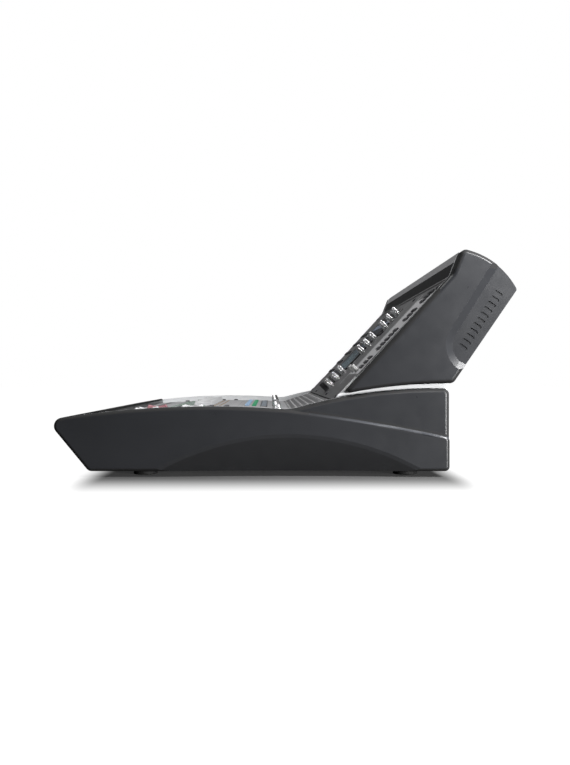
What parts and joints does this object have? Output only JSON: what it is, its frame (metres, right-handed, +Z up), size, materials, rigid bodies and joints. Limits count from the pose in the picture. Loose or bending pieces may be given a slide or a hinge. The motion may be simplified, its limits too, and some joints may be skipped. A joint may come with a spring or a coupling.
{
  "type": "digital mixing console",
  "caption": "Wedge-shaped digital audio mixing console with side cheeks, sliding faders, rotary knobs, press keys and a raised raked pod with a touch screen.",
  "frame": {"origin": "centre of the footprint, on the surface that the feet stand on", "axes": "+X to the operator's right, +Y away from the operator, +Z up"},
  "size_m": [0.69, 0.6001, 0.2949],
  "materials": {
    "cheek": "fine grained satin moulding",
    "black_moulding": "satin black",
    "silver_frame": "silver paint",
    "light_panel": "light grey powder coat",
    "dark_panel": "dark grey powder coat",
    "cover_paint": "mid grey powder coat",
    "sheet_metal": "black powder coat",
    "zinc": "zinc plated",
    "circuit_board": "solder mask green",
    "socket_black": "black nylon",
    "socket_metal": "nickel plated",
    "foot_rubber": "matt black rubber",
    "screw_steel": "blackened steel",
    "knob_silver": "bright turned",
    "knob_white": "satin white",
    "knob_dark": "satin dark grey",
    "fader_cap": "light satin cap",
    "key_blue": "light blue silicone",
    "key_green": "green silicone",
    "key_grey": "dark grey silicone",
    "screen_glass": "black glass front"
  },
  "bodies": {
    "console": {"base_plate": "sheet_metal", "rear_panel": "sheet_metal", "armrest": "black_moulding", "left_lower_cheek": "cheek", "right_lower_cheek": "cheek", "left_upper_cheek": "cheek", "right_upper_cheek": "cheek", "left_side_frame": "silver_frame", "right_side_frame": "silver_frame", "left_surface_panel": "light_panel", "right_surface_panel": "dark_panel", "control_panel": "dark_panel", "brow_bar": "black_moulding", "pod_rear_cover": "cover_paint", "touch_screen": "screen_glass", "screen_module": "sheet_metal", "fader_tracks": "zinc", "control_boards": "circuit_board", "main_board": "circuit_board", "power_supply": "zinc", "fan_frame": "black_moulding", "xlr_sockets": "socket_black", "data_sockets": "socket_metal", "mains_inlet": "black_moulding", "feet": "foot_rubber", "screws": "screw_steel", "strip_knobs": "knob_silver"},
    "fan_rotor": {"fan_rotor": "black_moulding"},
    "power_rocker": {"power_rocker": "black_moulding"},
    "listen_keys": {"listen_keys": "key_blue"},
    "select_keys": {"select_keys": "key_green"},
    "panel_keys": {"panel_keys": "key_grey"},
    "large_knob": {"large_knob": "knob_dark"},
    "fader_01": {"fader_01": "fader_cap"},
    "fader_02": {"fader_02": "fader_cap"},
    "fader_03": {"fader_03": "fader_cap"},
    "fader_04": {"fader_04": "fader_cap"},
    "fader_05": {"fader_05": "fader_cap"},
    "fader_06": {"fader_06": "fader_cap"},
    "fader_07": {"fader_07": "fader_cap"},
    "fader_08": {"fader_08": "fader_cap"},
    "fader_09": {"fader_09": "fader_cap"},
    "fader_10": {"fader_10": "fader_cap"},
    "fader_11": {"fader_11": "fader_cap"},
    "fader_12": {"fader_12": "fader_cap"},
    "fader_13": {"fader_13": "fader_cap"},
    "fader_14": {"fader_14": "fader_cap"},
    "fader_15": {"fader_15": "fader_cap"},
    "fader_16": {"fader_16": "fader_cap"},
    "panel_knob_1": {"panel_knob_1": "knob_silver"},
    "panel_knob_2": {"panel_knob_2": "knob_silver"},
    "panel_knob_3": {"panel_knob_3": "knob_silver"},
    "panel_knob_4": {"panel_knob_4": "knob_silver"},
    "panel_knob_5": {"panel_knob_5": "knob_silver"},
    "panel_knob_6": {"panel_knob_6": "knob_silver"},
    "panel_knob_7": {"panel_knob_7": "knob_silver"},
    "panel_knob_8": {"panel_knob_8": "knob_silver"},
    "panel_knob_9": {"panel_knob_9": "knob_silver"},
    "level_knob_1": {"level_knob_1": "knob_white"},
    "level_knob_2": {"level_knob_2": "knob_white"}
  },
  "joints": [
    {"name": "fader_01_slide", "type": "slide", "parent": "console", "child": "fader_01", "axis": [0, 0.9997, 0.0241], "range_m": [-0.056, 0.044]},
    {"name": "fader_02_slide", "type": "slide", "parent": "console", "child": "fader_02", "axis": [0, 0.9997, 0.0241], "range_m": [-0.056, 0.044]},
    {"name": "fader_03_slide", "type": "slide", "parent": "console", "child": "fader_03", "axis": [0, 0.9997, 0.0241], "range_m": [-0.056, 0.044]},
    {"name": "fader_04_slide", "type": "slide", "parent": "console", "child": "fader_04", "axis": [0, 0.9997, 0.0241], "range_m": [-0.056, 0.044]},
    {"name": "fader_05_slide", "type": "slide", "parent": "console", "child": "fader_05", "axis": [0, 0.9997, 0.0241], "range_m": [-0.056, 0.044]},
    {"name": "fader_06_slide", "type": "slide", "parent": "console", "child": "fader_06", "axis": [0, 0.9997, 0.0241], "range_m": [-0.056, 0.044]},
    {"name": "fader_07_slide", "type": "slide", "parent": "console", "child": "fader_07", "axis": [0, 0.9997, 0.0241], "range_m": [-0.056, 0.044]},
    {"name": "fader_08_slide", "type": "slide", "parent": "console", "child": "fader_08", "axis": [0, 0.9997, 0.0241], "range_m": [-0.056, 0.044]},
    {"name": "fader_09_slide", "type": "slide", "parent": "console", "child": "fader_09", "axis": [0, 0.9997, 0.0241], "range_m": [-0.056, 0.044]},
    {"name": "fader_10_slide", "type": "slide", "parent": "console", "child": "fader_10", "axis": [0, 0.9997, 0.0241], "range_m": [-0.056, 0.044]},
    {"name": "fader_11_slide", "type": "slide", "parent": "console", "child": "fader_11", "axis": [0, 0.9997, 0.0241], "range_m": [-0.056, 0.044]},
    {"name": "fader_12_slide", "type": "slide", "parent": "console", "child": "fader_12", "axis": [0, 0.9997, 0.0241], "range_m": [0, 0.1]},
    {"name": "fader_13_slide", "type": "slide", "parent": "console", "child": "fader_13", "axis": [0, 0.9997, 0.0241], "range_m": [-0.056, 0.044]},
    {"name": "fader_14_slide", "type": "slide", "parent": "console", "child": "fader_14", "axis": [0, 0.9997, 0.0241], "range_m": [-0.056, 0.044]},
    {"name": "fader_15_slide", "type": "slide", "parent": "console", "child": "fader_15", "axis": [0, 0.9997, 0.0241], "range_m": [0, 0.1]},
    {"name": "fader_16_slide", "type": "slide", "parent": "console", "child": "fader_16", "axis": [0, 0.9997, 0.0241], "range_m": [0, 0.1]},
    {"name": "panel_knob_1_turn", "type": "hinge", "parent": "console", "child": "panel_knob_1", "pos_m": [0.1, 0.07873, 0.11501], "axis": [0, -0.7311, 0.6822], "range_deg": [-150, 150]},
    {"name": "panel_knob_2_turn", "type": "hinge", "parent": "console", "child": "panel_knob_2", "pos_m": [0.1, 0.08828, 0.12524], "axis": [0, -0.7311, 0.6822], "range_deg": [-150, 150]},
    {"name": "panel_knob_3_turn", "type": "hinge", "parent": "console", "child": "panel_knob_3", "pos_m": [0.1, 0.09783, 0.13548], "axis": [0, -0.7311, 0.6822], "range_deg": [-150, 150]},
    {"name": "panel_knob_4_turn", "type": "hinge", "parent": "console", "child": "panel_knob_4", "pos_m": [0.1, 0.12853, 0.16838], "axis": [0, -0.7311, 0.6822], "range_deg": [-150, 150]},
    {"name": "panel_knob_5_turn", "type": "hinge", "parent": "console", "child": "panel_knob_5", "pos_m": [0.1, 0.13808, 0.17862], "axis": [0, -0.7311, 0.6822], "range_deg": [-150, 150]},
    {"name": "panel_knob_6_turn", "type": "hinge", "parent": "console", "child": "panel_knob_6", "pos_m": [0.1, 0.14763, 0.18885], "axis": [0, -0.7311, 0.6822], "range_deg": [-150, 150]},
    {"name": "panel_knob_7_turn", "type": "hinge", "parent": "console", "child": "panel_knob_7", "pos_m": [0.1, 0.16469, 0.20713], "axis": [0, -0.7311, 0.6822], "range_deg": [-150, 150]},
    {"name": "panel_knob_8_turn", "type": "hinge", "parent": "console", "child": "panel_knob_8", "pos_m": [0.1, 0.17424, 0.21737], "axis": [0, -0.7311, 0.6822], "range_deg": [-150, 150]},
    {"name": "panel_knob_9_turn", "type": "hinge", "parent": "console", "child": "panel_knob_9", "pos_m": [0.1, 0.18379, 0.2276], "axis": [0, -0.7311, 0.6822], "range_deg": [-150, 150]},
    {"name": "level_knob_1_turn", "type": "hinge", "parent": "console", "child": "level_knob_1", "pos_m": [0.226, 0.10056, 0.1384], "axis": [0, -0.7311, 0.6822], "range_deg": [0, 300]},
    {"name": "level_knob_2_turn", "type": "hinge", "parent": "console", "child": "level_knob_2", "pos_m": [0.27, 0.10056, 0.1384], "axis": [0, -0.7311, 0.6822], "range_deg": [0, 300]},
    {"name": "large_knob_turn", "type": "hinge", "parent": "console", "child": "large_knob", "pos_m": [0.068, 0.076, 0.11208], "axis": [0, -0.7311, 0.6822], "continuous": true},
    {"name": "listen_keys_press", "type": "slide", "parent": "console", "child": "listen_keys", "axis": [0, 0, -1], "range_m": [0, 0.0012], "stiffness_N_per_m": 600, "springref_m": -0.002},
    {"name": "select_keys_press", "type": "slide", "parent": "console", "child": "select_keys", "axis": [0, 0, -1], "range_m": [0, 0.0012], "stiffness_N_per_m": 600, "springref_m": -0.002},
    {"name": "panel_keys_press", "type": "slide", "parent": "console", "child": "panel_keys", "axis": [0, 0.7311, -0.6822], "range_m": [0, 0.0012], "stiffness_N_per_m": 600, "springref_m": -0.002},
    {"name": "power_rocker_tip", "type": "hinge", "parent": "console", "child": "power_rocker", "pos_m": [-0.12, 0.206, 0.082], "axis": [1, 0, 0], "range_deg": [0, 22]},
    {"name": "fan_spin", "type": "hinge", "parent": "console", "child": "fan_rotor", "pos_m": [-0.236, 0.2, 0.062], "axis": [0, 1, 0], "continuous": true}
  ]
}
